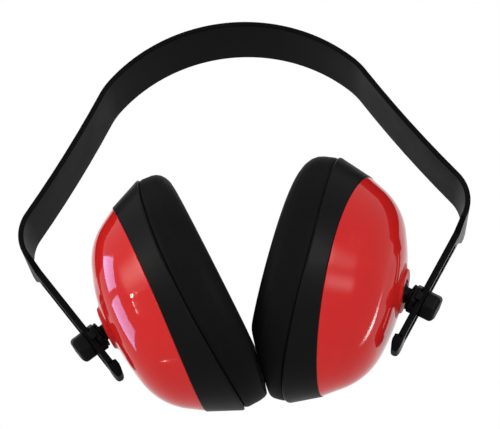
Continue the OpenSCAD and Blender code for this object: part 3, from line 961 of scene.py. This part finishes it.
def whiteBackground(b, shaded, target, white, share):
    # towards plain white where the camera, gloss or glass looks at it, and the shaded surface elsewhere
    path = b.add("ShaderNodeLightPath")
    seen = b.add("ShaderNodeMath", operation="MAXIMUM")
    b.join(path.outputs["Is Camera Ray"], seen.inputs[0])
    b.join(path.outputs["Is Glossy Ray"], seen.inputs[1])
    also = b.add("ShaderNodeMath", operation="MAXIMUM")
    b.join(seen.outputs[0], also.inputs[0])
    b.join(path.outputs["Is Transmission Ray"], also.inputs[1])
    part = b.add("ShaderNodeMath", operation="MULTIPLY")
    part.inputs[1].default_value = share
    b.join(also.outputs[0], part.inputs[0])
    mix = b.add("ShaderNodeMixShader")
    b.join(part.outputs[0], mix.inputs[0])
    b.join(shaded, mix.inputs[1])
    b.join(b.add(white, Color=(1, 1, 1, 1), Strength=1.0).outputs[0], mix.inputs[2])
    b.join(mix.outputs[0], target)


def addStage():
    bm = bmesh.new()
    bmesh.ops.create_grid(bm, x_segments=2, y_segments=2, size=stage["floorSize"] / 2)
    bmesh.ops.translate(bm, verts=bm.verts, vec=(0, 0, stage["floorHeight"]))
    mesh = bpy.data.meshes.new("floor")
    bm.to_mesh(mesh)
    bm.free()
    floor = bpy.data.objects.new("floor", mesh)
    scene.collection.objects.link(floor)
    material, b, shader = newMaterial("floorPaper")
    shader.inputs["Base Color"].default_value = (*stage["floorColour"], 1)
    shader.inputs["Roughness"].default_value = stage["floorRough"]
    shader.inputs["Specular IOR Level"].default_value = 0.0
    out = material.node_tree.nodes["Material Output"]
    whiteBackground(b, shader.outputs[0], out.inputs["Surface"], "ShaderNodeEmission", stage["floorWhite"])
    mesh.materials.append(material)
    world = bpy.data.worlds.new("studio")
    scene.world = world
    world.use_nodes = True
    world.node_tree.nodes.clear()
    b = NodeBench(world.node_tree)
    soft = b.add("ShaderNodeBackground", Color=(1, 1, 1, 1), Strength=stage["worldLight"])
    out = b.add("ShaderNodeOutputWorld")
    whiteBackground(b, soft.outputs[0], out.inputs["Surface"], "ShaderNodeBackground", stage["worldWhite"])


def onlyOn(lamp, piece):
    # the lamp lights this piece alone
    lit = bpy.data.collections.new(lamp.name + "Lit")
    lit.objects.link(piece)
    lamp.light_linking.receiver_collection = lit


def addLamp(name, place, aim, size, radiance, colour=(1, 1, 1), sees="both"):
    data = bpy.data.lights.new(name, "AREA")
    data.shape = "RECTANGLE"
    data.size, data.size_y = size
    data.energy = radiance * math.pi * size[0] * size[1]
    data.color = colour
    lamp = bpy.data.objects.new(name, data)
    lamp.location = place
    lamp.rotation_euler = (Vector(aim) - Vector(place)).to_track_quat("-Z", "Y").to_euler()
    lamp.visible_camera = False
    lamp.visible_diffuse = sees != "gloss"
    lamp.visible_glossy = sees != "diffuse"
    scene.collection.objects.link(lamp)
    return lamp


def addPanel(name, place, aim, size, radiance, colour=(1, 1, 1)):
    # a panel that only gloss sees, brightest in its middle and fading to its edges
    turn = (Vector(aim) - Vector(place)).to_track_quat("-Z", "Y").to_matrix().to_4x4()
    bm = bmesh.new()
    uv = bm.loops.layers.uv.new("UVMap")
    bmesh.ops.create_grid(bm, x_segments=1, y_segments=1, size=1)
    for face in bm.faces:
        for loop in face.loops:
            loop[uv].uv = loop.vert.co.xy
    bmesh.ops.scale(bm, verts=bm.verts, vec=(size[0] / 2, size[1] / 2, 1))
    bmesh.ops.transform(bm, matrix=Matrix.Translation(place) @ turn, verts=bm.verts)
    mesh = bpy.data.meshes.new(name)
    bm.to_mesh(mesh)
    bm.free()
    panel = bpy.data.objects.new(name, mesh)
    scene.collection.objects.link(panel)
    panel.visible_camera = panel.visible_diffuse = panel.visible_shadow = panel.visible_transmission = False
    material = bpy.data.materials.new(name)
    material.use_nodes = True
    material.node_tree.nodes.clear()
    b = NodeBench(material.node_tree)
    coords = b.add("ShaderNodeTexCoord")
    reach = b.add("ShaderNodeVectorMath", operation="LENGTH")
    fade = b.addRange(fromRange=(1, 0))
    fade.interpolation_type = "SMOOTHSTEP"
    light = b.add("ShaderNodeEmission", Color=(*colour, 1))
    strength = b.add("ShaderNodeMath", operation="MULTIPLY")
    strength.inputs[1].default_value = radiance
    clear = b.add("ShaderNodeBsdfTransparent")
    mix = b.add("ShaderNodeMixShader")
    out = b.add("ShaderNodeOutputMaterial")
    b.join(coords.outputs["UV"], reach.inputs[0])
    b.join(reach.outputs["Value"], fade.inputs["Value"])
    b.join(fade.outputs["Result"], strength.inputs[0])
    b.join(strength.outputs[0], light.inputs["Strength"])
    b.join(fade.outputs["Result"], mix.inputs[0])
    b.join(clear.outputs[0], mix.inputs[1])
    b.join(light.outputs[0], mix.inputs[2])
    b.join(mix.outputs[0], out.inputs["Surface"])
    mesh.materials.append(material)
    return panel


addStage()
# each lamp: place, aim, size and radiance
middle, leftCup, rightCup = (0, 0, -0.1), (-0.055, -0.03, -0.13), (0.05, -0.02, -0.15)
skyBlue, warmWhite = (0.42, 0.55, 1.0), (1.0, 0.96, 0.9)
roomLamps = {
    "keyLamp": ((-1.05, -0.65, 0.3), middle, (0.8, 0.8), 3.0),
    "fillLamp": ((0.6, -1.1, -0.05), middle, (0.6, 0.7), 2.5),
    "backLamp": ((-0.15, 0.95, 1.1), middle, (0.9, 0.9), 1.8),
}
for name, values in roomLamps.items():
    addLamp(name, *values, sees="diffuse")
addPanel("leftSheen", (-0.9, -0.55, 0.15), middle, (0.9, 1.0), 15.0, warmWhite)
addPanel("rightSheen", (0.5, -0.95, -0.05), middle, (0.9, 0.78), 20.0)
addPanel("rightGlow", (0.335, -0.416, -0.27), rightCup, (0.26, 0.26), 6.0)
# a two-pane window and short tubes to the left and a tall slit to the right give the cups clear highlights
paneLight = 15.5
tubeLight, tubeSize, tubeHeights = 115.0, (0.008, 0.045), (-0.165, -0.245, -0.335)
glints = {
    "upperPane": ((-0.99, 0.085, 0.19), leftCup, (0.38, 0.37), paneLight, skyBlue),
    "lowerPane": ((-0.831, 0.106, -0.267), leftCup, (0.37, 0.37), paneLight, skyBlue),
}
for number, height in enumerate(tubeHeights):
    glints["tube%d" % number] = ((-0.765, -0.376, height), leftCup, tubeSize, tubeLight)
glints["spark"] = ((-0.244, -0.039, -0.42), leftCup, (0.003, 0.003), 300.0)
for name, values in glints.items():
    onlyOn(addLamp(name, *values, sees="gloss"), shells["left"])
armSheen = addLamp("armSheen", (0.38, 0.92, 0.1), (0.08, 0, -0.12), (0.35, 0.35), 1.7, sees="gloss")
onlyOn(armSheen, bandHalves["right"])
onlyOn(addPanel("slit", (0.353, 0.108, -0.28), rightCup, (0.07, 0.36), 34.0), shells["right"])
print("stage and lamps made")
